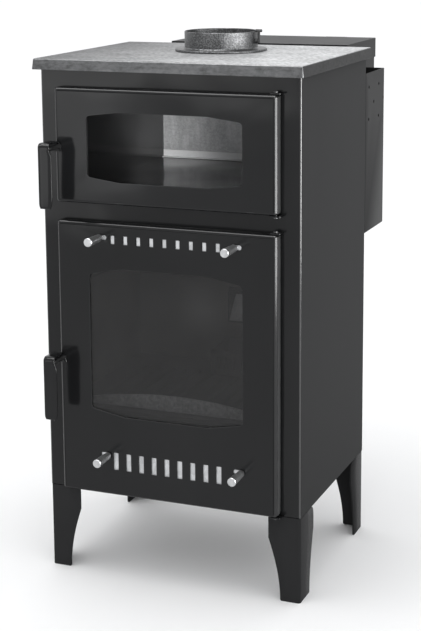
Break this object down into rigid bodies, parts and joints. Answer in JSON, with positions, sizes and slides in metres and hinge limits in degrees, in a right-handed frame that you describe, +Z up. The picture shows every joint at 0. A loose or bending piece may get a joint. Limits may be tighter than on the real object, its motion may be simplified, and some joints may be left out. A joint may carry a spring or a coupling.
{
  "type": "pellet and wood stove",
  "caption": "Free-standing sheet-metal stove with an oven over a glazed firebox, sliding air vents, tapered legs, a flue collar with damper and a rear pellet hopper.",
  "frame": {"origin": "on the floor, under the middle of the stove's width and of its whole depth from the knobs to the hopper lid's hinge", "axes": "+X to the stove's right as seen from the front, +Y to the rear, +Z up"},
  "size_m": [0.468, 0.6216, 0.9135],
  "materials": {
    "front_enamel": "gloss black stove enamel",
    "side_enamel": "satin dark grey enamel",
    "cooking_plate_steel": "fine brushed steel, slightly mottled",
    "collar_iron": "rough sand-cast iron",
    "dark_iron": "dull dark iron",
    "zinc_steel": "plain zinc-coated sheet",
    "chrome": "polished chrome",
    "stove_glass": "clear heat-proof glass",
    "rope_seal": "woven fibre rope",
    "fire_board": "matt vermiculite fire board",
    "hopper_enamel": "satin grey enamel"
  },
  "bodies": {
    "stove_body": {"front_frame": "front_enamel", "oven_hinge_tab_top": "front_enamel", "oven_hinge_tab_bottom": "front_enamel", "firebox_hinge_tab_top": "front_enamel", "firebox_hinge_tab_bottom": "front_enamel", "left_side_panel": "side_enamel", "right_side_panel": "side_enamel", "rear_panel": "side_enamel", "base_panel": "side_enamel", "leg_front_left": "side_enamel", "leg_front_right": "side_enamel", "leg_rear_left": "side_enamel", "leg_rear_right": "side_enamel", "left_hopper_guard": "side_enamel", "right_hopper_guard": "side_enamel", "top_plate": "cooking_plate_steel", "flue_collar": "collar_iron", "grate": "dark_iron", "log_guard": "dark_iron", "pellet_basket": "dark_iron", "oven_latch_keeper": "dark_iron", "firebox_latch_keeper": "dark_iron", "oven_liner": "zinc_steel", "oven_back_rail": "zinc_steel", "ash_pan": "zinc_steel", "lid_hinge_pin": "zinc_steel", "oven_hinge_pin_top": "chrome", "oven_hinge_pin_bottom": "chrome", "firebox_hinge_pin_top": "chrome", "firebox_hinge_pin_bottom": "chrome", "fire_brick_left": "fire_board", "fire_brick_right": "fire_board", "fire_brick_back": "fire_board", "pellet_hopper": "hopper_enamel", "hopper_funnel": "hopper_enamel", "pellet_chute": "hopper_enamel"},
    "oven_door_leaf": {"oven_door": "front_enamel", "oven_glass": "stove_glass", "oven_glass_frame": "dark_iron", "oven_door_back_plate": "dark_iron", "oven_door_seal": "rope_seal"},
    "oven_handle_grip": {"oven_handle": "front_enamel", "oven_handle_spindle": "chrome"},
    "firebox_door_leaf": {"firebox_door": "front_enamel", "firebox_glass": "stove_glass", "firebox_glass_frame": "dark_iron", "firebox_door_back_plate": "dark_iron", "firebox_door_seal": "rope_seal"},
    "firebox_handle_grip": {"firebox_handle": "front_enamel", "firebox_handle_spindle": "chrome"},
    "upper_air_control": {"upper_air_slide": "zinc_steel", "upper_knob_left": "chrome", "upper_knob_right": "chrome"},
    "lower_air_control": {"lower_air_slide": "zinc_steel", "lower_knob_left": "chrome", "lower_knob_right": "chrome"},
    "hopper_lid_leaf": {"hopper_lid": "hopper_enamel"},
    "flue_damper": {"damper_disc": "dark_iron", "damper_spindle": "dark_iron", "damper_lever": "dark_iron"}
  },
  "joints": [
    {"name": "oven_door_hinge", "type": "hinge", "parent": "stove_body", "child": "oven_door_leaf", "pos_m": [0.1865, -0.25475, 0.736], "axis": [0, 0, 1], "range_deg": [0, 110]},
    {"name": "firebox_door_hinge", "type": "hinge", "parent": "stove_body", "child": "firebox_door_leaf", "pos_m": [0.1865, -0.25475, 0.38], "axis": [0, 0, 1], "range_deg": [0, 110]},
    {"name": "oven_handle_turn", "type": "hinge", "parent": "oven_door_leaf", "child": "oven_handle_grip", "pos_m": [-0.184, -0.28475, 0.735], "axis": [0, 1, 0], "range_deg": [0, 60]},
    {"name": "firebox_handle_turn", "type": "hinge", "parent": "firebox_door_leaf", "child": "firebox_handle_grip", "pos_m": [-0.184, -0.28475, 0.38], "axis": [0, 1, 0], "range_deg": [0, 60]},
    {"name": "upper_air_slide_travel", "type": "slide", "parent": "firebox_door_leaf", "child": "upper_air_control", "axis": [1, 0, 0], "range_m": [-0.004, 0.007]},
    {"name": "lower_air_slide_travel", "type": "slide", "parent": "firebox_door_leaf", "child": "lower_air_control", "axis": [1, 0, 0], "range_m": [-0.011, 0]},
    {"name": "hopper_lid_hinge", "type": "hinge", "parent": "stove_body", "child": "hopper_lid_leaf", "pos_m": [0.018, 0.30725, 0.872], "axis": [-1, 0, 0], "range_deg": [0, 95]},
    {"name": "flue_damper_turn", "type": "hinge", "parent": "stove_body", "child": "flue_damper", "pos_m": [0.006, -0.02475, 0.893], "axis": [1, 0, 0], "range_deg": [0, 90]}
  ]
}
